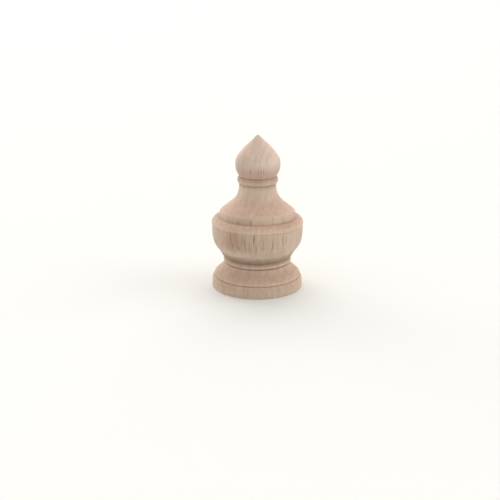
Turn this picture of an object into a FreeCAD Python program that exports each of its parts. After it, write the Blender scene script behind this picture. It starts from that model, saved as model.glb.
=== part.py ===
import FreeCAD, Part
import Sketcher
import os

# A newel post cap, turned in one piece of wood about its upright axis.
# The origin is the centre of the flat underside, Z points up, and sizes are in millimetres.
# The outline rises from the underside: foot, cove, waist bead, bowl, belly, step, neck, collar, bulb, tip.

SIZES = {
    # The foot is a plain band with a rounded top, and a thin lip stands on it behind a fine groove.
    "foot_diameter": 80.0,
    "base_easing": 0.5,
    "foot_side_height": 4.9,
    "foot_round_height": 4.3,
    "foot_round_inset": 1.1,
    "foot_groove_width": 0.8,
    "foot_groove_depth": 0.7,
    "lip_diameter": 75.6,
    "lip_height": 2.0,
    # The cove sweeps in from the lip to the waist.
    "cove_height": 9.4,
    "cove_foot_reach": 4.2,
    "cove_foot_rise": 4.2,
    "cove_top_reach": 1.5,
    "cove_top_drop": 4.0,
    # The waist carries a bead between two grooves, and the wider one cuts in under the bowl.
    "waist_diameter": 58.6,
    "waist_groove_width": 1.3,
    "waist_groove_depth": 1.1,
    "waist_bead_diameter": 59.9,
    "waist_bead_height": 3.0,
    "bowl_groove_width": 3.4,
    "bowl_groove_depth": 1.7,
    # The bowl opens out from the waist, hollow at first and then round, to an upright rim.
    "bowl_foot_diameter": 62.2,
    "bowl_rim_diameter": 79.8,
    "bowl_height": 27.0,
    "bowl_foot_reach": 5.6,
    "bowl_foot_rise": 10.5,
    "bowl_rim_swell": 0.1,
    "bowl_rim_drop": 19.8,
    # The belly moulding stands a little proud of the rim: a fine groove, a thin nose
    # and a quarter round under a ledge.
    "belly_diameter": 80.4,
    "belly_groove_width": 0.7,
    "belly_groove_depth": 0.6,
    "nose_height": 0.6,
    "quarter_round_height": 5.4,
    "quarter_round_width": 5.4,
    # A short, slightly tapered step stands on the ledge and ends at the shoulder.
    "step_diameter": 66.8,
    "step_height": 5.0,
    "shoulder_diameter": 65.8,
    # The neck rises from the shoulder, round at first and then hollow.
    "neck_diameter": 32.2,
    "neck_height": 23.7,
    "shoulder_reach": 7.7,
    "shoulder_rise": 7.7,
    "neck_drop": 14.3,
    # The collar swells out of the neck above a fine groove, and a scribed line sets off its slimmer rim.
    "collar_diameter": 35.5,
    "collar_groove_width": 0.8,
    "collar_groove_depth": 0.6,
    "collar_swell_height": 3.6,
    "collar_line_width": 0.5,
    "collar_line_depth": 0.7,
    "collar_rim_diameter": 34.6,
    "collar_rim_height": 1.2,
    # The bulb sits in a groove on the collar, swells and closes in a straight-sided point.
    "bulb_groove_diameter": 31.8,
    "bulb_groove_rise": 0.7,
    "bulb_foot_diameter": 32.6,
    "bulb_foot_rise": 0.8,
    "bulb_diameter": 38.9,
    "bulb_swell_height": 11.0,
    "bulb_swell_reach": 3.0,
    "bulb_swell_rise": 5.1,
    "bulb_swell_drop": 3.9,
    "point_height": 23.2,
    "point_foot_rise": 3.6,
    "point_reach": 17.7,
    "point_drop": 16.0,
    "tip_diameter": 2.8,
    "tip_crown": 0.8,
    # The crisp outer edges of the lip, the shoulder and the collar's rim are softened by sanding.
    "edge_softening": 0.3,
    # A blind bore in the underside takes the fixing dowel.
    "bore_diameter": 10.0,
    "bore_depth": 30.0,
    "bore_mouth_diameter": 12.0,
    "bore_mouth_angle": 90.0,
    "drill_point_angle": 118.0,
}

# Positions on a sketch edge, and the numbers by which a sketch knows its own origin and upright axis.
START, END, CENTRE = range(1, 4)
ORIGIN, UPRIGHT_AXIS = range(-1, -3, -1)
NORMAL = FreeCAD.Vector(0, 0, 1)
TOLERANCE = 1e-4


def half(name):
    """The radius that belongs to a named diameter."""
    return "Sizes." + name + " / 2"


def size(name):
    """A named size."""
    return "Sizes." + name


def fill_sheet(document):
    """Writes each named size into the sheet, as a label and a plain number."""
    sheet = document.addObject("Spreadsheet::Sheet", "Sizes")
    for row, (name, number) in enumerate(SIZES.items(), start=1):
        sheet.set("A%d" % row, name.replace("_", " "))
        sheet.set("B%d" % row, str(number))
        sheet.setAlias("B%d" % row, name)
    document.recompute()
    return sheet


def origin_plane(body, role):
    """One of the body's own origin planes, found by its role."""
    for feature in body.Origin.OriginFeatures:
        if feature.Role == role:
            return feature
    raise ValueError("the body has no plane " + role)


def new_sketch(body, name, role):
    """A sketch of the body on one of its own origin planes."""
    sketch = body.newObject("Sketcher::SketchObject", name)
    sketch.AttachmentSupport = [(origin_plane(body, role), "")]
    sketch.MapMode = "FlatFace"
    return sketch


class Outline:
    """A closed outline in a sketch, drawn upwards from the centre of the underside.

    A point is given by its distance from the axis and by its rise above the edge's start,
    both as expressions in the named sizes. None keeps the distance or the height as it was.
    """

    def __init__(self, sketch):
        self.sketch = sketch
        self.last = None
        self.here = FreeCAD.Vector(0, 0, 0)
        self.soft_corners = []

    def number(self, expression):
        return float(self.sketch.evalExpression(expression))

    def point(self, across, rise):
        """The point at this distance from the axis and this rise, as numbers."""
        x = self.here.x if across is None else self.number(across)
        y = self.here.y if rise is None else self.here.y + self.number(rise)
        return FreeCAD.Vector(x, y, 0)

    def tie(self, kind, *members):
        return self.sketch.addConstraint(Sketcher.Constraint(kind, *members))

    def measure(self, kind, first, second, expression):
        """A horizontal or vertical distance between two points, bound to the named sizes."""
        number = self.number(expression)
        constraint = self.tie(kind, *first, *second, number)
        self.sketch.setExpression("Constraints[%d]" % constraint, expression)

    def place(self, place, edge, across, rise):
        """Fixes a point of the sketch against the axis and the start of its edge."""
        start = (edge, START)
        if across is None:
            self.tie("Vertical", *start, *place)
        else:
            self.measure("DistanceX", (ORIGIN, START), place, across)
        if rise is None:
            self.tie("Horizontal", *start, *place)
        else:
            self.measure("DistanceY", start, place, rise)

    def add(self, geometry, end, joint="Coincident"):
        """Adds the next edge and joins its start to the end of the edge before."""
        edge = self.sketch.addGeometry(geometry)
        if self.last is None:
            self.tie("Coincident", ORIGIN, START, edge, START)
        else:
            self.tie(joint, self.last, END, edge, START)
        self.last = edge
        self.here = end
        return edge

    def line_to(self, across=None, rise=None):
        end = self.point(across, rise)
        edge = self.add(Part.LineSegment(self.here, end), end)
        self.place((edge, END), edge, across, rise)

    def soften_corner(self):
        """Notes the corner just drawn as one that the turner sands soft."""
        self.soft_corners.append(self.here)

    def groove_to(self, across, bottom, width):
        """A fine groove cut with a pointed tool: down to its bottom and out to the next edge."""
        self.line_to(bottom, width + " / 2")
        self.line_to(across, width + " / 2")

    def arc(self, centre, end, joint):
        """The shorter arc about a centre, counterclockwise from here to its end."""
        circle = Part.Circle(centre, NORMAL, (self.here - centre).Length)
        first = circle.parameter(self.here)
        second = circle.parameter(end)
        return self.add(Part.ArcOfCircle(circle, first, second), end, joint)

    def quarter_to(self, across, rise):
        """A round stretch that leaves the edge before it smoothly, from upright or level."""
        end = self.point(across, rise)
        step = end - self.here
        leaving = self.sketch.Geometry[self.last].EndPoint - self.sketch.Geometry[self.last].StartPoint
        leaving.normalize()
        inward = FreeCAD.Vector(-leaving.y, leaving.x, 0)
        radius = step.dot(step) / (2 * step.dot(inward))
        edge = self.arc(self.here + inward * radius, end, "Tangent")
        self.place((edge, END), edge, across, rise)

    def swell_to(self, across, rise):
        """A round stretch that ends upright, so its centre lies level with its end."""
        end = self.point(across, rise)
        step = end - self.here
        radius = step.dot(step) / (2 * step.x)
        edge = self.arc(end - FreeCAD.Vector(radius, 0, 0), end, "Coincident")
        self.place((edge, END), edge, across, rise)
        self.tie("Horizontal", edge, CENTRE, edge, END)

    def bead_to(self, crown, rise):
        """A half round that stands out to its crown and comes back to the same distance."""
        end = self.point(None, rise)
        half_rise = (end.y - self.here.y) / 2
        stand = self.number(crown) - self.here.x
        radius = (half_rise ** 2 + stand ** 2) / (2 * stand)
        top = FreeCAD.Vector(self.here.x + stand, self.here.y + half_rise, 0)
        edge = self.arc(top - FreeCAD.Vector(radius, 0, 0), end, "Coincident")
        self.place((edge, END), edge, None, rise)
        mark = self.sketch.addGeometry(Part.Point(top), True)
        self.place((mark, START), edge, crown, rise + " / 2")
        self.tie("PointOnObject", mark, START, edge)

    def curve_to(self, across, rise, leave, arrive):
        """A drawn curve whose two handles are placed like points, from the curve's start."""
        end = self.point(across, rise)
        poles = [self.here, self.point(*leave), self.point(*arrive), end]
        ends = [len(poles)] * 2
        curve = Part.BSplineCurve(poles, ends, [0, 1], False, len(poles) - 1, [1] * len(poles), False)
        edge = self.add(curve, end)
        handles = []
        for pole in poles:
            handles.append(self.sketch.addGeometry(Part.Circle(pole, NORMAL, 1), True))
        self.tie("Weight", handles[0], 1.0)
        for handle in handles[1:]:
            self.tie("Equal", handles[0], handle)
        for order, handle in enumerate(handles):
            kind = "InternalAlignment:Sketcher::BSplineControlPoint"
            self.tie(kind, handle, CENTRE, edge, order)
        self.place((edge, END), edge, across, rise)
        self.place((handles[1], CENTRE), edge, *leave)
        self.place((handles[2], CENTRE), edge, *arrive)

    def crown_to_axis(self, rise):
        """The rounded top, an arc centred on the axis."""
        end = FreeCAD.Vector(0, self.here.y + self.number(rise), 0)
        drop = end.y - self.here.y
        radius = (self.here.x ** 2 + drop ** 2) / (2 * drop)
        edge = self.arc(end - FreeCAD.Vector(0, radius, 0), end, "Coincident")
        self.tie("PointOnObject", edge, END, UPRIGHT_AXIS)
        self.tie("PointOnObject", edge, CENTRE, UPRIGHT_AXIS)
        self.measure("DistanceY", (edge, START), (edge, END), rise)

    def close(self):
        """Comes back down the axis to where the outline began."""
        edge = self.add(Part.LineSegment(self.here, FreeCAD.Vector(0, 0, 0)), FreeCAD.Vector(0, 0, 0))
        self.tie("Coincident", edge, END, ORIGIN, START)


def draw_foot(outline):
    side = half("foot_diameter")
    lip = half("lip_diameter")
    easing = size("base_easing")
    outline.line_to(side + " - " + easing)
    outline.line_to(side, easing)
    outline.line_to(rise=size("foot_side_height"))
    outline.quarter_to(side + " - " + size("foot_round_inset"), size("foot_round_height"))
    outline.groove_to(lip, lip + " - " + size("foot_groove_depth"), size("foot_groove_width"))
    outline.line_to(rise=size("lip_height"))
    outline.soften_corner()


def draw_cove(outline):
    waist = half("waist_diameter")
    rise = size("cove_height")
    leave = (half("lip_diameter") + " - " + size("cove_foot_reach"), size("cove_foot_rise"))
    arrive = (waist + " + " + size("cove_top_reach"), rise + " - " + size("cove_top_drop"))
    outline.curve_to(waist, rise, leave, arrive)


def draw_waist(outline):
    waist = half("waist_diameter")
    bottom = waist + " - " + size("waist_groove_depth")
    under_bowl = waist + " - " + size("bowl_groove_depth")
    outline.groove_to(waist, bottom, size("waist_groove_width"))
    outline.bead_to(half("waist_bead_diameter"), size("waist_bead_height"))
    outline.groove_to(half("bowl_foot_diameter"), under_bowl, size("bowl_groove_width"))


def draw_bowl(outline):
    rim = half("bowl_rim_diameter")
    rise = size("bowl_height")
    leave = (half("bowl_foot_diameter") + " + " + size("bowl_foot_reach"), size("bowl_foot_rise"))
    arrive = (rim + " + " + size("bowl_rim_swell"), rise + " - " + size("bowl_rim_drop"))
    outline.curve_to(rim, rise, leave, arrive)


def draw_belly(outline):
    belly = half("belly_diameter")
    outline.groove_to(belly, belly + " - " + size("belly_groove_depth"), size("belly_groove_width"))
    outline.line_to(rise=size("nose_height"))
    outline.quarter_to(belly + " - " + size("quarter_round_width"), size("quarter_round_height"))
    outline.line_to(half("step_diameter"))


def draw_step(outline):
    outline.line_to(half("shoulder_diameter"), size("step_height"))
    outline.soften_corner()


def draw_neck(outline):
    neck = half("neck_diameter")
    rise = size("neck_height")
    leave = (half("shoulder_diameter") + " - " + size("shoulder_reach"), size("shoulder_rise"))
    arrive = (neck, rise + " - " + size("neck_drop"))
    outline.curve_to(neck, rise, leave, arrive)


def draw_collar(outline):
    neck = half("neck_diameter")
    collar = half("collar_diameter")
    rim = half("collar_rim_diameter")
    outline.groove_to(neck, neck + " - " + size("collar_groove_depth"), size("collar_groove_width"))
    outline.swell_to(collar, size("collar_swell_height"))
    outline.groove_to(rim, collar + " - " + size("collar_line_depth"), size("collar_line_width"))
    outline.line_to(rise=size("collar_rim_height"))
    outline.soften_corner()
    outline.line_to(half("bulb_groove_diameter"), size("bulb_groove_rise"))


def draw_bulb(outline):
    foot = half("bulb_foot_diameter")
    side = half("bulb_diameter")
    tip = half("tip_diameter")
    swell = size("bulb_swell_height")
    height = size("point_height")
    outline.line_to(foot, size("bulb_foot_rise"))
    leave = (foot + " + " + size("bulb_swell_reach"), size("bulb_swell_rise"))
    arrive = (side, swell + " - " + size("bulb_swell_drop"))
    outline.curve_to(side, swell, leave, arrive)
    leave = (None, size("point_foot_rise"))
    arrive = (tip + " + " + size("point_reach"), height + " - " + size("point_drop"))
    outline.curve_to(tip, height, leave, arrive)
    outline.crown_to_axis(size("tip_crown"))


def turn_cap(body):
    """Revolves the whole outline about the upright axis."""
    sketch = new_sketch(body, "TurnedOutline", "XZ_Plane")
    outline = Outline(sketch)
    draw_foot(outline)
    draw_cove(outline)
    draw_waist(outline)
    draw_bowl(outline)
    draw_belly(outline)
    draw_step(outline)
    draw_neck(outline)
    draw_collar(outline)
    draw_bulb(outline)
    outline.close()
    turning = body.newObject("PartDesign::Revolution", "Turning")
    turning.Profile = sketch
    turning.ReferenceAxis = (sketch, ["V_Axis"])
    turning.Angle = 360
    body.Document.recompute()
    return turning, outline.soft_corners


def edges_at(shape, corners):
    """The names of the turned edges that run through these corners of the outline."""
    names = []
    for number, edge in enumerate(shape.Edges, start=1):
        if not edge.isClosed() or edge.Degenerated:
            continue
        seam = edge.Vertexes[0].Point
        ring = FreeCAD.Vector(FreeCAD.Vector(seam.x, seam.y, 0).Length, seam.z, 0)
        if any(ring.isEqual(corner, TOLERANCE) for corner in corners):
            names.append("Edge%d" % number)
    return names


def soften_edges(body, turning, corners):
    """Takes the sharpness off the noted corners, as sandpaper does."""
    names = edges_at(turning.Shape, corners)
    if len(names) != len(corners):
        raise RuntimeError("an edge to soften was not found")
    softening = body.newObject("PartDesign::Chamfer", "SoftEdges")
    softening.Base = (turning, names)
    softening.setExpression("Size", size("edge_softening"))
    body.Document.recompute()
    return softening


def bore_underside(body):
    """Drills the blind bore for the dowel up the middle, with a countersunk mouth."""
    sketch = new_sketch(body, "BoreCentre", "XY_Plane")
    mark = sketch.addGeometry(Part.Circle(FreeCAD.Vector(0, 0, 0), NORMAL, SIZES["bore_diameter"] / 2))
    sketch.addConstraint(Sketcher.Constraint("Coincident", mark, CENTRE, ORIGIN, START))
    wide = sketch.addConstraint(Sketcher.Constraint("Diameter", mark, SIZES["bore_diameter"]))
    sketch.setExpression("Constraints[%d]" % wide, size("bore_diameter"))
    body.Document.recompute()
    bore = body.newObject("PartDesign::Hole", "DowelBore")
    bore.Profile = sketch
    body.Document.recompute()
    bore.ThreadType = "None"
    bore.Reversed = True
    bore.DepthType = "Dimension"
    bore.DrillPoint = "Angled"
    bore.DrillForDepth = False
    bore.HoleCutType = "Countersink"
    bore.setExpression("Diameter", size("bore_diameter"))
    bore.setExpression("Depth", size("bore_depth"))
    bore.setExpression("DrillPointAngle", size("drill_point_angle"))
    bore.setExpression("HoleCutDiameter", size("bore_mouth_diameter"))
    bore.setExpression("HoleCutCountersinkAngle", size("bore_mouth_angle"))
    body.Document.recompute()
    return bore


def check(document, body, blank_volume):
    """Stops before anything is written if a step of the model has failed."""
    for item in document.Objects:
        if "Invalid" in item.State or "Error" in item.State:
            raise RuntimeError(item.Label + " is not sound: " + ", ".join(item.State))
    for item in document.Objects:
        if item.isDerivedFrom("Sketcher::SketchObject") and not item.FullyConstrained:
            raise RuntimeError(item.Label + " has loose sizes")
    shape = body.Shape
    if shape.isNull() or not shape.isValid() or len(shape.Solids) != 1:
        raise RuntimeError(body.Label + " is not one valid solid")
    if shape.Volume >= blank_volume:
        raise RuntimeError("the bore has cut nothing")


def main():
    document = FreeCAD.newDocument("NewelCap")
    fill_sheet(document)
    body = document.addObject("PartDesign::Body", "NewelCapBody")
    body.Label = "newel_cap"
    body.Placement = FreeCAD.Placement()
    turning, soft_corners = turn_cap(body)
    blank = soften_edges(body, turning, soft_corners)
    blank_volume = blank.Shape.Volume
    bore_underside(body)
    check(document, body, blank_volume)
    os.makedirs("parts", exist_ok=True)
    body.Shape.exportStep("parts/" + body.Label + ".step")
    box = body.Shape.optimalBoundingBox(False)
    print("cap %.2f wide, %.2f high, volume %.0f" % (box.XLength, box.ZLength, body.Shape.Volume))


main()
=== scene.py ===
import math

import bpy
from mathutils import Matrix, Vector


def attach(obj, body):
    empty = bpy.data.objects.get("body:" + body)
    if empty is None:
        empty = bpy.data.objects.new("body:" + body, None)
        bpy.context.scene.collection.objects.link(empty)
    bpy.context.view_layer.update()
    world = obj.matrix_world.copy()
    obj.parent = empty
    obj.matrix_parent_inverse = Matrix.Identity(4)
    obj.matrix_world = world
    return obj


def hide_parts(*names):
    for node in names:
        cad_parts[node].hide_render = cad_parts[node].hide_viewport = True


# A newel post cap turned from one piece of bare, pale hardwood, standing on a plain pale floor.
# Sizes of the cap are in millimetres, and Blender's own units are metres.

MM = 0.001

# How the lathe mesh is divided.
TURN_STEPS = 288
CURVE_STEPS = 26
ARC_STEP = math.radians(7)
LEAST_ARC_STEPS = 4
ARRIS_STEPS = 3
SMOOTH_ANGLE = math.radians(24)
MERGE_DISTANCE = 0.002 * MM


# The turned outline, from the foot to the tip. A handle says how far across and up from its end of a
# sweep the handle stands.

FOOT_RADIUS = 40.0
BASE_EASING = 0.5
FOOT_SIDE_TOP = 5.4
FOOT_ROUND_TOP = 9.7
FOOT_ROUND_INSET = 1.1
FOOT_GROOVE_WIDTH = 0.8
FOOT_GROOVE_DEPTH = 0.7
LIP_RADIUS = 37.8
LIP_HEIGHT = 2.0

COVE_HEIGHT = 9.4
COVE_FOOT_HANDLE = (-4.2, 4.2)
COVE_TOP_HANDLE = (1.5, -4.0)

WAIST_RADIUS = 29.3
WAIST_GROOVE_WIDTH = 1.3
WAIST_GROOVE_DEPTH = 1.1
WAIST_BEAD_STAND = 0.65
WAIST_BEAD_HEIGHT = 3.0
BOWL_GROOVE_WIDTH = 3.4
BOWL_GROOVE_DEPTH = 1.7

BOWL_FOOT_RADIUS = 31.1
BOWL_RIM_RADIUS = 39.9
BOWL_HEIGHT = 27.0
BOWL_FOOT_HANDLE = (5.6, 10.5)
BOWL_RIM_HANDLE = (0.1, -19.8)

BELLY_RADIUS = 40.2
BELLY_GROOVE_WIDTH = 0.7
BELLY_GROOVE_DEPTH = 0.6
NOSE_HEIGHT = 0.6
QUARTER_ROUND_HEIGHT = 5.4
QUARTER_ROUND_WIDTH = 5.4

STEP_RADIUS = 33.4
STEP_HEIGHT = 5.0
SHOULDER_RADIUS = 32.9

NECK_RADIUS = 16.1
NECK_HEIGHT = 23.7
SHOULDER_HANDLE = (-7.7, 7.7)
NECK_HANDLE = (0.0, -14.3)

COLLAR_RADIUS = 17.75
COLLAR_GROOVE_WIDTH = 0.8
COLLAR_GROOVE_DEPTH = 0.6
COLLAR_SWELL_HEIGHT = 3.6
COLLAR_LINE_WIDTH = 0.5
COLLAR_LINE_DEPTH = 0.7
COLLAR_RIM_RADIUS = 17.3
COLLAR_RIM_HEIGHT = 1.2

BULB_GROOVE_RADIUS = 15.9
BULB_GROOVE_RISE = 0.7
BULB_FOOT_RADIUS = 16.3
BULB_FOOT_RISE = 0.8
BULB_RADIUS = 19.45
BULB_SWELL_HEIGHT = 11.0
BULB_FOOT_HANDLE = (3.0, 5.1)
BULB_SIDE_HANDLE = (0.0, -3.9)
POINT_HEIGHT = 23.2
POINT_FOOT_HANDLE = (0.0, 3.6)
POINT_TIP_HANDLE = (17.7, -16.0)
TIP_RADIUS = 1.4
TIP_CROWN = 0.8

ARRIS = 0.3
FINE_ARRIS = 0.14

BORE_RADIUS = 5.0
BORE_DEPTH = 30.0
BORE_MOUTH_RADIUS = 6.0
DRILL_POINT_HALF_ANGLE = math.radians(59)


class Outline:
    """Half of the turned section, drawn as one string of edges in the plane above the X axis."""

    def __init__(self, radius, height):
        bpy.ops.mesh.primitive_plane_add(size=MM, location=(radius * MM, 0, height * MM))
        bpy.ops.object.transform_apply(location=True)
        bpy.ops.object.mode_set(mode="EDIT")
        bpy.ops.mesh.merge(type="CENTER")
        self.radius = radius
        self.height = height
        self.arrises = []

    def line_to(self, radius, height):
        step = ((radius - self.radius) * MM, 0, (height - self.height) * MM)
        bpy.ops.mesh.extrude_region_move(TRANSFORM_OT_translate={"value": step})
        self.radius = radius
        self.height = height

    def rise(self, height):
        self.line_to(self.radius, self.height + height)

    def slope(self, radius, rise):
        self.line_to(radius, self.height + rise)

    def arris(self, width=ARRIS):
        """Notes the corner just reached as one that sandpaper takes the edge off."""
        self.arrises.append((Vector((self.radius * MM, 0, self.height * MM)), width * MM))

    def groove(self, radius, bottom, width):
        """A fine groove cut with a pointed tool, between two crisp edges."""
        self.arris(FINE_ARRIS)
        self.slope(bottom, width / 2)
        self.arris(FINE_ARRIS)
        self.slope(radius, width / 2)
        self.arris(FINE_ARRIS)

    def arc_to(self, radius, rise, centre):
        """A round stretch about a centre, turned as a string of short steps."""
        start = Vector((self.radius, self.height)) - Vector(centre)
        end = Vector((radius, self.height + rise)) - Vector(centre)
        turn = math.atan2(start.x * end.y - start.y * end.x, start.dot(end))
        steps = max(LEAST_ARC_STEPS, math.ceil(abs(turn) / ARC_STEP))
        for number in range(1, steps + 1):
            angle = turn * number / steps
            here = Matrix.Rotation(angle, 2) @ start + Vector(centre)
            self.line_to(here.x, here.y)

    def quarter(self, radius, rise):
        """A round stretch that leaves upright and turns in over its rise."""
        across = self.radius - radius
        size = (across ** 2 + rise ** 2) / (2 * across)
        self.arc_to(radius, rise, (self.radius - size, self.height))

    def swell(self, radius, rise):
        """A round stretch that ends upright."""
        across = radius - self.radius
        size = (across ** 2 + rise ** 2) / (2 * across)
        self.arc_to(radius, rise, (radius - size, self.height + rise))

    def bead(self, stand, rise):
        """A half round that stands out to its crown and comes back."""
        size = ((rise / 2) ** 2 + stand ** 2) / (2 * stand)
        self.arc_to(self.radius, rise, (self.radius + stand - size, self.height + rise / 2))

    def curve(self, radius, rise, leave, arrive):
        """A smooth sweep whose handles stand off its two ends."""
        start = Vector((self.radius, self.height))
        end = Vector((radius, self.height + rise))
        near = start + Vector(leave)
        far = end + Vector(arrive)
        for number in range(1, CURVE_STEPS + 1):
            along = number / CURVE_STEPS
            back = 1 - along
            here = start * back ** 3 + near * 3 * back * back * along + far * 3 * back * along * along
            here += end * along ** 3
            self.line_to(here.x, here.y)

    def ease_arrises(self):
        """Rounds the noted corners."""
        for place, width in self.arrises:
            bpy.ops.mesh.select_all(action="DESELECT")
            choose(lambda vertex: (vertex.co - place).length < MERGE_DISTANCE)
            easing = {"offset": width, "segments": ARRIS_STEPS, "clamp_overlap": True}
            bpy.ops.mesh.bevel(affect="VERTICES", **easing)


def choose(wanted):
    """Selects the vertices of the piece in edit mode that meet a condition."""
    bpy.ops.object.mode_set(mode="OBJECT")
    mesh = bpy.context.object.data
    for vertex in mesh.vertices:
        vertex.select = wanted(vertex)
    bpy.ops.object.mode_set(mode="EDIT")


def draw_bore(outline):
    outline.line_to(BORE_RADIUS, BORE_DEPTH)
    outline.line_to(BORE_RADIUS, BORE_MOUTH_RADIUS - BORE_RADIUS)
    outline.arris(FINE_ARRIS)
    outline.line_to(BORE_MOUTH_RADIUS, 0)
    outline.arris(FINE_ARRIS)


def draw_foot(outline):
    outline.line_to(FOOT_RADIUS - BASE_EASING, 0)
    centre = (FOOT_RADIUS - BASE_EASING, BASE_EASING)
    outline.arc_to(FOOT_RADIUS, BASE_EASING, centre)
    outline.line_to(FOOT_RADIUS, FOOT_SIDE_TOP)
    outline.quarter(FOOT_RADIUS - FOOT_ROUND_INSET, FOOT_ROUND_TOP - FOOT_SIDE_TOP)
    outline.groove(LIP_RADIUS, LIP_RADIUS - FOOT_GROOVE_DEPTH, FOOT_GROOVE_WIDTH)
    outline.rise(LIP_HEIGHT)
    outline.arris()


def draw_waist(outline):
    outline.curve(WAIST_RADIUS, COVE_HEIGHT, COVE_FOOT_HANDLE, COVE_TOP_HANDLE)
    outline.groove(WAIST_RADIUS, WAIST_RADIUS - WAIST_GROOVE_DEPTH, WAIST_GROOVE_WIDTH)
    outline.bead(WAIST_BEAD_STAND, WAIST_BEAD_HEIGHT)
    outline.groove(BOWL_FOOT_RADIUS, WAIST_RADIUS - BOWL_GROOVE_DEPTH, BOWL_GROOVE_WIDTH)


def draw_bowl(outline):
    outline.curve(BOWL_RIM_RADIUS, BOWL_HEIGHT, BOWL_FOOT_HANDLE, BOWL_RIM_HANDLE)
    outline.groove(BELLY_RADIUS, BELLY_RADIUS - BELLY_GROOVE_DEPTH, BELLY_GROOVE_WIDTH)
    outline.rise(NOSE_HEIGHT)
    outline.quarter(BELLY_RADIUS - QUARTER_ROUND_WIDTH, QUARTER_ROUND_HEIGHT)


def draw_neck(outline):
    outline.slope(STEP_RADIUS, 0)
    outline.slope(SHOULDER_RADIUS, STEP_HEIGHT)
    outline.arris()
    outline.curve(NECK_RADIUS, NECK_HEIGHT, SHOULDER_HANDLE, NECK_HANDLE)


def draw_collar(outline):
    outline.groove(NECK_RADIUS, NECK_RADIUS - COLLAR_GROOVE_DEPTH, COLLAR_GROOVE_WIDTH)
    outline.swell(COLLAR_RADIUS, COLLAR_SWELL_HEIGHT)
    outline.groove(COLLAR_RIM_RADIUS, COLLAR_RADIUS - COLLAR_LINE_DEPTH, COLLAR_LINE_WIDTH)
    outline.rise(COLLAR_RIM_HEIGHT)
    outline.arris()
    outline.slope(BULB_GROOVE_RADIUS, BULB_GROOVE_RISE)
    outline.slope(BULB_FOOT_RADIUS, BULB_FOOT_RISE)
    outline.arris(FINE_ARRIS)


def draw_bulb(outline):
    outline.curve(BULB_RADIUS, BULB_SWELL_HEIGHT, BULB_FOOT_HANDLE, BULB_SIDE_HANDLE)
    outline.curve(TIP_RADIUS, POINT_HEIGHT, POINT_FOOT_HANDLE, POINT_TIP_HANDLE)
    size = (TIP_RADIUS ** 2 + TIP_CROWN ** 2) / (2 * TIP_CROWN)
    outline.arc_to(0, TIP_CROWN, (0, outline.height + TIP_CROWN - size))


def turn_cap():
    """Draws the outline, eases its arrises and turns it about the upright axis."""
    bpy.ops.object.select_all(action="DESELECT")
    outline = Outline(0, BORE_DEPTH + BORE_RADIUS / math.tan(DRILL_POINT_HALF_ANGLE))
    draw_bore(outline)
    draw_foot(outline)
    draw_waist(outline)
    draw_bowl(outline)
    draw_neck(outline)
    draw_collar(outline)
    draw_bulb(outline)
    outline.ease_arrises()
    bpy.ops.mesh.select_all(action="SELECT")
    bpy.ops.mesh.spin(steps=TURN_STEPS, angle=2 * math.pi, center=(0, 0, 0), axis=(0, 0, 1))
    bpy.ops.mesh.select_all(action="SELECT")
    bpy.ops.mesh.remove_doubles(threshold=MERGE_DISTANCE)
    bpy.ops.mesh.normals_make_consistent(inside=False)
    bpy.ops.object.mode_set(mode="OBJECT")
    bpy.ops.object.shade_smooth_by_angle(angle=SMOOTH_ANGLE)
    cap = bpy.context.object
    cap.name = "turned_cap"
    return cap


# Finishes.

class Strand:
    """A socket of a finish that can be used in a sum, each step of which adds a Math node."""

    def __init__(self, finish, socket):
        self.finish = finish
        self.socket = socket

    def work(self, operation, first, second):
        return self.finish.node("ShaderNodeMath", {"operation": operation}, {0: first, 1: second})

    def __add__(self, other):
        return self.work("ADD", self, other)

    def __radd__(self, other):
        return self.work("ADD", other, self)

    def __sub__(self, other):
        return self.work("SUBTRACT", self, other)

    def __rsub__(self, other):
        return self.work("SUBTRACT", other, self)

    def __mul__(self, other):
        return self.work("MULTIPLY", self, other)

    def __rmul__(self, other):
        return self.work("MULTIPLY", other, self)

    def __abs__(self):
        return self.finish.node("ShaderNodeMath", {"operation": "ABSOLUTE"}, {0: self})

    def beside(self, name):
        """Another output of the same node."""
        return Strand(self.finish, self.socket.node.outputs[name])


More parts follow.
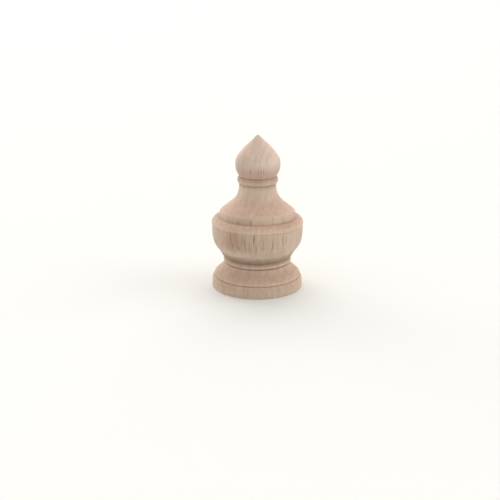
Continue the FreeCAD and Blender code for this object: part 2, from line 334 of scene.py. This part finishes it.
class Finish:
    """A material built from nodes."""

    def __init__(self, name):
        self.material = bpy.data.materials.new(name)
        self.material.use_nodes = True
        self.nodes = self.material.node_tree.nodes
        self.links = self.material.node_tree.links
        self.nodes.clear()

    def node(self, kind, settings=None, sockets=None, output=0):
        """Adds a node, sets it, joins or fills its sockets, and gives one of its outputs."""
        node = self.nodes.new(kind)
        for name, setting in (settings or {}).items():
            setattr(node, name, setting)
        for name, given in (sockets or {}).items():
            socket = self.socket(node, name)
            if isinstance(given, Strand):
                self.links.new(given.socket, socket)
            else:
                socket.default_value = given
        shown = [socket for socket in node.outputs if socket.enabled]
        if not shown:
            return None
        if isinstance(output, str):
            return Strand(self, next(socket for socket in shown if socket.name == output))
        return Strand(self, shown[output])

    def socket(self, node, name):
        if isinstance(name, int):
            return node.inputs[name]
        return next(socket for socket in node.inputs if socket.name == name and socket.enabled)

    def mix(self, share, first, second):
        """The first colour turning into the second as the share goes from 0 to 1."""
        sockets = {"Factor": share, "A": first, "B": second}
        return self.node("ShaderNodeMix", {"data_type": "RGBA"}, sockets)

    def fade(self, strand, low, high, start=0.0, end=1.0):
        """A strand brought from the range low to high into start to end, with soft ends."""
        sockets = {"Value": strand, "From Min": low, "From Max": high, "To Min": start, "To Max": end}
        return self.node("ShaderNodeMapRange", {"interpolation_type": "SMOOTHSTEP"}, sockets)

    def fade_out(self, strand, low, high):
        """A strand brought from the range low to high into 1 to 0, with soft ends."""
        return self.fade(strand, low, high, 1.0, 0.0)

    def noise(self, place, scale, detail):
        sockets = {"Vector": place, "Scale": scale, "Detail": detail}
        return self.node("ShaderNodeTexNoise", None, sockets)

    def stretched(self, place, scale, shift=(0, 0, 0)):
        """Places scaled and then shifted. Heights scaled down draw a pattern out along the grain."""
        sockets = {"Vector": place, "Location": shift, "Scale": scale}
        return self.node("ShaderNodeMapping", None, sockets)

    def surface(self, sockets):
        """The shader that the other nodes feed, joined to the material's output."""
        shader = self.node("ShaderNodeBsdfPrincipled", None, sockets)
        self.node("ShaderNodeOutputMaterial", None, {"Surface": shader})


def between(low, high, share):
    """From low to high as the share goes from 0 to 1."""
    return low + share * (high - low)


def paint(red, green, blue):
    """A colour as it looks on screen, from 0 to 255, as Blender's own linear colour."""
    linear = []
    for tone in (red, green, blue):
        tone /= 255
        linear.append(tone / 12.92 if tone <= 0.04045 else ((tone + 0.055) / 1.055) ** 2.4)
    return (*linear, 1.0)


# Colours of the wood: its end grain, which faces up, its side grain, its paler stretches and its marks,
# a painted highlight for the nose and the grey of painted shade in its hollows. The pale and the browns
# also paint highlights and shade in the bands and patches below.
PALE_END = paint(204, 175, 153)
PINK_END = paint(197, 163, 141)
PALE_SIDE = paint(209, 188, 168)
GREY_SIDE = paint(197, 175, 154)
PALE_TIP_AND_HIGHLIGHT = paint(243, 230, 220)
PAINTED_NOSE_HIGHLIGHT = paint(220, 190, 167)
STREAK_AND_SHADE_BROWN = paint(160, 124, 102)
PORE_AND_SHADE_BROWN = paint(104, 78, 64)
KNOT_RED = paint(164, 118, 98)
SHADE_GREY = paint(92, 80, 70)

# Side grain gives way to end grain between these upright shares of a surface's normal. For the tone
# the normal is first shifted up, so wood that faces down keeps the tone of side grain for longer.
SIDE_GRAIN = (0.2, 0.8)
SIDE_TONE = (0.4, 1.0)
SIDE_TONE_SHIFT = 0.2

# Marks that are drawn on the front fade out between these depths, of which 0 is the middle of the cap.
FRONT_EDGE = (-8.0, 0.0)

# Noise drawn out along the grain: what heights are scaled by, the grains to a millimetre, the detail.
BROAD_GRAIN = (0.12, 0.07, 2.0)
SOFT_GRAIN = (0.06, 0.30, 3.0)
FIBRES = (0.05, 1.5, 3.0)
WAVER = (0.15, 0.035, 2.0)

# An edge is the range of a pattern in which it fades in, or out.
SOFT_EDGE = (0.30, 0.70)
FIBRE_EDGE = (0.35, 0.75)
FIBRE_SHARE = 0.38

# The blank was sawn beside the heart of the tree, which stands this far off, and its rings are this wide.
HEART = (-130, 35, 0)
RING_WIDTH = 5.5
RING_WAVER = 15.0
RING_EDGE = (0.2, 1.0)
RING_SHARE = 0.10

# A darker streak runs up the blank, left of the middle as the cap is seen from the front. It is partly
# the wood's own and partly painted shade on the upright faces turned from the stronger light on the
# right.
STREAK_MIDDLE = -12.0
STREAK_REACH = 13.0
STREAK_WAVER = 10.0
STREAK_FOOT = (8.0, 30.0)
STREAK_TOP = (58.0, 74.0)
STREAK_ON_END = 0.2
STREAK_SHARE = 0.24

# The colour turns paler toward the tip, and the wood's fibres and pores are fainter above the shoulder.
CROWN_RISE = (56.0, 112.0)
CROWN_SHARE = 0.23
FIGURE_TOP = (68.0, 76.0)
FIGURE_ABOVE = 0.3

# Long dark pores gather where the wood is dense, and that follows its broad grain and the darker streak.
# Pores lie in cells, given as what heights are scaled by and the cells to a millimetre.
DENSE_BROAD = 0.7
DENSE_STREAK = 0.5
DENSE_EDGE = (0.25, 0.85)
LINE_CELLS = (0.07, 0.62)
LINE_EDGE = (0.16, 0.40)
LINE_CHANCE = (0.55, 1.10)
LINE_CHANCE_DENSE = 0.35
LINE_SHARE = (0.20, 0.54)

# Short dark pores lie all over, in cells shifted off those of the long ones. All are faint on end grain.
DASH_CELLS = (0.08, 1.5)
DASH_SHIFT = (31, 17, 5)
DASH_EDGE = (0.14, 0.38)
DASH_SHARE = 0.16
PORES_ON_END = 0.12

# Bands of paler or darker tone round the cap, set to what is seen on the real one: the middle and half
# height of each, its share and its colour. Part of what they darken is painted shade that the lights
# don't give, above all the half share of grey at the bowl's foot, and the paler bands on the foot's lip
# and on the nose are painted highlights.
BANDS = [
    (8.0, 3.0, 0.08, SHADE_GREY),
    (11.6, 1.4, 0.10, PALE_TIP_AND_HIGHLIGHT),
    (17.5, 8.0, 0.14, SHADE_GREY),
    (30.2, 6.4, 0.50, SHADE_GREY),
    (48.0, 14.0, 0.10, SHADE_GREY),
    (59.0, 2.5, 0.38, PAINTED_NOSE_HIGHLIGHT),
    (63.2, 2.2, 0.14, STREAK_AND_SHADE_BROWN),
    (69.9, 1.3, 0.07, PALE_TIP_AND_HIGHLIGHT),
    (88.0, 18.0, 0.16, STREAK_AND_SHADE_BROWN),
    (92.0, 3.2, 0.26, PORE_AND_SHADE_BROWN),
    (96.5, 5.0, 0.16, KNOT_RED),
    (98.6, 2.4, 0.20, PORE_AND_SHADE_BROWN),
    (103.0, 10.0, 0.44, STREAK_AND_SHADE_BROWN),
]

# The deep grooves round the waist are darkened too, with painted shade: where they are cut, how far from
# the axis and how high, and the heights between which the lower groove's share turns into the upper
# one's.
GROOVE_REACH = (28.2, 29.6)
GROOVE_MIDDLE = 26.0
GROOVE_HALF_HEIGHT = (4.0, 5.0)
GROOVE_CHANGE = (24.0, 26.0)
LOWER_GROOVE_SHARE = 0.45
UPPER_GROOVE_SHARE = 0.12

# The dark strokes that show most on the front: the middle of each, its half width and its half height.
STROKES = [
    (-3.2, 52.5, 0.9, 9.0),
    (-3.1, 54.0, 1.2, 6.0),
    (-10.7, 50.5, 1.1, 11.0),
    (-7.3, 46.0, 0.7, 9.0),
    (-19.0, 54.0, 0.6, 8.0),
    (-22.8, 54.0, 0.6, 8.0),
    (-5.6, 46.0, 0.6, 8.0),
    (-1.4, 45.0, 0.6, 8.0),
    (1.8, 50.0, 0.6, 9.0),
    (5.0, 47.5, 0.6, 8.0),
    (12.5, 48.0, 0.6, 9.0),
    (21.3, 50.5, 0.6, 9.0),
    (24.2, 50.0, 0.6, 9.0),
    (-6.2, 65.5, 1.6, 4.5),
    (-6.5, 105.5, 0.8, 7.0),
    (0.2, 106.0, 0.8, 7.0),
    (2.7, 105.0, 0.8, 7.0),
    (4.6, 106.0, 0.8, 7.0),
]
STROKE_EDGE = (0.2, 0.7)
STROKE_SHARE = (0.25, 0.5)

# Broader patches of the front: the middle, half width and half height of each, its share and its colour.
# The reddish one on the bowl is the wood's own, and the others are partly painted light and shade.
PATCHES = [
    (-30.0, 9.0, 14.0, 9.0, 0.22, STREAK_AND_SHADE_BROWN),
    (-16.0, 37.0, 14.0, 7.0, 0.16, PALE_TIP_AND_HIGHLIGHT),
    (-21.5, 49.5, 12.0, 14.0, 0.40, KNOT_RED),
    (26.0, 47.0, 12.0, 14.0, 0.14, PALE_TIP_AND_HIGHLIGHT),
    (26.0, 61.0, 16.0, 7.0, 0.28, STREAK_AND_SHADE_BROWN),
    (-15.0, 67.0, 14.0, 7.0, 0.16, STREAK_AND_SHADE_BROWN),
    (18.0, 77.0, 10.0, 9.0, 0.14, STREAK_AND_SHADE_BROWN),
    (-14.0, 112.0, 10.0, 14.0, 0.26, STREAK_AND_SHADE_BROWN),
    (0.0, 97.0, 10.0, 5.0, 0.16, KNOT_RED),
]
SPOT_CORE = 0.1

# Tool marks lie level round the cap: what level distances are scaled by, the marks to a millimetre and
# the detail of their noise. In the relief, fibres and tool marks stand up and pores sink in.
TOOL_MARKS = (0.02, 1.1, 2.0)
FIBRE_RELIEF = 0.30
MARK_RELIEF = 0.30
LINE_RELIEF = 0.7
DASH_RELIEF = 0.5
RELIEF_STRENGTH = 0.30
RELIEF_DEPTH = 0.3
WOOD_ROUGHNESS = (0.64, 0.76)
WOOD_GLOSS = 0.3


class Wood(Finish):
    """The wood of the cap, with the places on it and the patterns that its marks share."""

    def __init__(self, name):
        super().__init__(name)
        spot = self.node("ShaderNodeTexCoord", None, None, "Object")
        self.place = self.stretched(spot, (1 / MM, 1 / MM, 1 / MM))
        self.level = self.stretched(self.place, (1, 1, 0))
        self.across = self.node("ShaderNodeSeparateXYZ", None, {"Vector": self.place}, "X")
        self.height = self.across.beside("Z")
        self.upright = self.node("ShaderNodeSeparateXYZ", None, {"Vector": spot.beside("Normal")}, "Z")
        self.side_grain = self.fade_out(abs(self.upright), *SIDE_GRAIN)
        self.front = self.fade_out(self.across.beside("Y"), *FRONT_EDGE)
        self.fibre = self.grain(*FIBRES)
        self.waver = self.grain(*WAVER)

    def grain(self, length, scale, detail):
        """Noise drawn out along the grain."""
        return self.noise(self.stretched(self.place, (1, 1, length)), scale, detail)

    def cells(self, length, scale, shift=(0, 0, 0)):
        """Long cells along the grain, as the distance from the middle of each."""
        place = self.stretched(self.place, (1, 1, length), shift)
        sockets = {"Vector": place, "Scale": scale}
        return self.node("ShaderNodeTexVoronoi", None, sockets, "Distance")

    def spot(self, across, up, half_width, half_height):
        """A soft spot as it is seen from the front, from 1 in its middle to 0 at its rim."""
        scale = (1 / half_width, 0, 1 / half_height)
        shift = (-across / half_width, 0, -up / half_height)
        sockets = {0: self.stretched(self.place, scale, shift)}
        off = self.node("ShaderNodeVectorMath", {"operation": "LENGTH"}, sockets, "Value")
        return self.fade_out(off, SPOT_CORE, 1.0)


def plain_tone(wood):
    """The wood's own colour on end grain and side grain, mixed with a paler tone toward the tip."""
    soft = wood.fade(wood.grain(*SOFT_GRAIN), *SOFT_EDGE)
    end_tone = wood.mix(soft, PINK_END, PALE_END)
    side_tone = wood.mix(soft, GREY_SIDE, PALE_SIDE)
    on_side = wood.fade_out(abs(wood.upright + SIDE_TONE_SHIFT), *SIDE_TONE)
    crown = wood.fade(wood.height, *CROWN_RISE, 0.0, CROWN_SHARE)
    return wood.mix(crown, wood.mix(on_side, end_tone, side_tone), PALE_TIP_AND_HIGHLIGHT)


def growth_rings(wood):
    """The rings about the heart of the tree, from 0 between them to 1 on each."""
    ends = {0: wood.level, 1: HEART}
    away = wood.node("ShaderNodeVectorMath", {"operation": "DISTANCE"}, ends, "Value")
    turn = (away + wood.waver * RING_WAVER) * (2 * math.pi / RING_WIDTH)
    wave = wood.node("ShaderNodeMath", {"operation": "SINE"}, {0: turn})
    return wood.fade(wave, *RING_EDGE)


def streak_and_shade(wood):
    """The darker streak, partly the wood's own and partly painted shade, which fades out toward the foot
    and the neck.
    """
    off = abs(wood.across + wood.waver * STREAK_WAVER - STREAK_MIDDLE)
    streak = wood.fade_out(off, 0.0, STREAK_REACH) * between(STREAK_ON_END, 1.0, wood.side_grain)
    return streak * wood.fade(wood.height, *STREAK_FOOT) * wood.fade_out(wood.height, *STREAK_TOP)


def pore_lines(wood, dense):
    """The long dark pores, of which chance leaves out the most where the wood isn't dense."""
    cell = wood.cells(*LINE_CELLS)
    chance = wood.node("ShaderNodeSeparateColor", None, {"Color": cell.beside("Color")}, "Red")
    return wood.fade_out(cell, *LINE_EDGE) * wood.fade(chance + dense * LINE_CHANCE_DENSE, *LINE_CHANCE)


def groove_shade(wood):
    """The painted shade in the grooves round the waist, as the share of its colour."""
    radius = wood.node("ShaderNodeVectorMath", {"operation": "LENGTH"}, {0: wood.level}, "Value")
    near = wood.fade_out(abs(wood.height - GROOVE_MIDDLE), *GROOVE_HALF_HEIGHT)
    share = wood.fade(wood.height, *GROOVE_CHANGE, LOWER_GROOVE_SHARE, UPPER_GROOVE_SHARE)
    return wood.fade_out(radius, *GROOVE_REACH) * near * share


def tool_marks(wood):
    """The fine marks that the turning tool left round the cap."""
    level_scale, scale, detail = TOOL_MARKS
    return wood.noise(wood.stretched(wood.place, (level_scale, level_scale, 1)), scale, detail)


def bare_wood():
    """Bare turned hardwood with its grain upright: rings, soft streaks, fine fibres and dark pores, with
    painted light and shade in bands and patches.
    """
    wood = Wood("bare_wood")
    streak = streak_and_shade(wood)
    figure = wood.side_grain * wood.fade(wood.height, *FIGURE_TOP, 1.0, FIGURE_ABOVE)
    dense = wood.fade(wood.grain(*BROAD_GRAIN) * DENSE_BROAD + streak * DENSE_STREAK, *DENSE_EDGE)
    lines = pore_lines(wood, dense)
    dashes = wood.fade_out(wood.cells(*DASH_CELLS, DASH_SHIFT), *DASH_EDGE)

    colour = wood.mix(growth_rings(wood) * RING_SHARE, plain_tone(wood), STREAK_AND_SHADE_BROWN)
    # The darker streak: partly the wood's own, partly painted shade.
    colour = wood.mix(streak * STREAK_SHARE, colour, STREAK_AND_SHADE_BROWN)
    # Patches on the front: the reddish one is the wood's own, the others partly painted light and shade.
    for *where, share, tint in PATCHES:
        colour = wood.mix(wood.spot(*where) * wood.front * share, colour, tint)
    fibres = wood.fade(wood.fibre, *FIBRE_EDGE, 0.0, FIBRE_SHARE)
    colour = wood.mix(fibres * figure, colour, STREAK_AND_SHADE_BROWN)
    # Bands round the cap: painted shade in the hollows and painted highlights on the foot's lip and the
    # nose, beside the wood's own tone.
    for middle, reach, share, tint in BANDS:
        colour = wood.mix(wood.fade(abs(wood.height - middle), 0.0, reach, share, 0.0), colour, tint)
    # Painted shade in the grooves round the waist.
    colour = wood.mix(groove_shade(wood), colour, PORE_AND_SHADE_BROWN)
    pores = lines * between(*LINE_SHARE, dense) + dashes * DASH_SHARE
    colour = wood.mix(pores * between(PORES_ON_END, 1.0, figure), colour, PORE_AND_SHADE_BROWN)
    strokes = sum(wood.spot(*stroke) for stroke in STROKES) * wood.front * wood.side_grain
    colour = wood.mix(strokes * wood.fade(wood.fibre, *STROKE_EDGE, *STROKE_SHARE), colour, PORE_AND_SHADE_BROWN)

    relief = wood.fibre * FIBRE_RELIEF + tool_marks(wood) * MARK_RELIEF
    relief = relief - lines * LINE_RELIEF - dashes * DASH_RELIEF
    bump = {"Strength": RELIEF_STRENGTH, "Distance": RELIEF_DEPTH * MM, "Height": relief}
    wood.surface({
        "Base Color": colour,
        "Roughness": between(*WOOD_ROUGHNESS, wood.fibre),
        "Normal": wood.node("ShaderNodeBump", None, bump),
        "Specular IOR Level": WOOD_GLOSS,
    })
    return wood.material


# The studio, with its sizes in metres.

FLOOR_RADIUS = 10.0
FLOOR_CORNERS = 128
HORIZON_RADIUS = 200.0
HORIZON_RISE = 2.0
FLOOR_WHITE = paint(233, 232, 227)
FLOOR_ROUGHNESS = 0.8
FLOOR_GLOSS = 0.2

# The lights: name, degrees round the cap from the viewer's right, degrees up, strength and breadth.
BROAD = math.radians(60)
CLOSE = math.radians(40)
LIGHTS = [
    ("right", 0, 15, 1.20, BROAD),
    ("left", 180, 15, 0.30, BROAD),
    ("back_left", 135, 12, 1.03, CLOSE),
    ("back", 90, 30, 0.87, BROAD),
    ("over_back", 90, 60, 0.49, BROAD),
]
SKY_WHITE = (1.0, 1.0, 1.0, 1.0)
SKY_STRENGTH = 0.74

# The camera: its lens and sensor in millimetres, its place in metres.
LENS = 56
SENSOR = 36
CAMERA_PLACE = (-0.00645, -0.6594, 0.2422)
CAMERA_PITCH = math.radians(17.709)
CAMERA_ROLL = math.radians(0.213)


def plain_floor():
    floor = Finish("pale_floor")
    look = {"Base Color": FLOOR_WHITE, "Roughness": FLOOR_ROUGHNESS, "Specular IOR Level": FLOOR_GLOSS}
    floor.surface(look)
    return floor.material


def lay_floor():
    """A round floor that rises very gently far off, so that it fills the picture to its top edge."""
    bpy.ops.object.select_all(action="DESELECT")
    bpy.ops.mesh.primitive_circle_add(vertices=FLOOR_CORNERS, radius=FLOOR_RADIUS, fill_type="NGON")
    bpy.ops.object.mode_set(mode="EDIT")
    bpy.ops.mesh.select_mode(type="EDGE")
    bpy.ops.mesh.select_all(action="SELECT")
    bpy.ops.mesh.extrude_edges_move()
    bpy.ops.transform.resize(value=(HORIZON_RADIUS / FLOOR_RADIUS, HORIZON_RADIUS / FLOOR_RADIUS, 1))
    bpy.ops.transform.translate(value=(0, 0, HORIZON_RISE))
    bpy.ops.object.mode_set(mode="OBJECT")
    floor = bpy.context.object
    floor.name = "floor"
    floor.data.materials.append(plain_floor())


def set_camera():
    data = bpy.data.cameras.new("camera")
    data.lens = LENS
    data.sensor_width = SENSOR
    camera = bpy.data.objects.new("camera", data)
    bpy.context.scene.collection.objects.link(camera)
    tilt = Matrix.Rotation(math.pi / 2 - CAMERA_PITCH, 4, "X") @ Matrix.Rotation(CAMERA_ROLL, 4, "Z")
    camera.matrix_world = Matrix.Translation(CAMERA_PLACE) @ tilt
    bpy.context.scene.camera = camera


def soft_light(name, round_from_right, height, strength, breadth):
    """A broad light far off, so that it falls evenly on the floor, at these angles in degrees."""
    data = bpy.data.lights.new(name, "SUN")
    data.angle = breadth
    data.energy = strength
    light = bpy.data.objects.new(name, data)
    bpy.context.scene.collection.objects.link(light)
    turn = Matrix.Rotation(math.radians(round_from_right), 4, "Z")
    lift = Matrix.Rotation(math.radians(90 - height), 4, "Y")
    light.matrix_world = turn @ lift


def light_studio():
    for light in LIGHTS:
        soft_light(*light)
    world = bpy.data.worlds.new("studio")
    world.use_nodes = True
    sky = world.node_tree.nodes["Background"]
    sky.inputs["Color"].default_value = SKY_WHITE
    sky.inputs["Strength"].default_value = SKY_STRENGTH
    bpy.context.scene.world = world
    bpy.context.scene.view_settings.view_transform = "Standard"


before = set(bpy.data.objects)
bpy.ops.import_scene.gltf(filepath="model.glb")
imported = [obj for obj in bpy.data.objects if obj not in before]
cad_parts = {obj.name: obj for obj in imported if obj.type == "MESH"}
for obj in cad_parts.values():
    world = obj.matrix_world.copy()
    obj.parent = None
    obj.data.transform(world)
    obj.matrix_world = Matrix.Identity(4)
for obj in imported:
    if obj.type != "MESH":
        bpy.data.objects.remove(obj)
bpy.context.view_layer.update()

cap = turn_cap()
cap.data.materials.append(bare_wood())
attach(cap, "root")
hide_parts("newel_cap")

lay_floor()
set_camera()
light_studio()
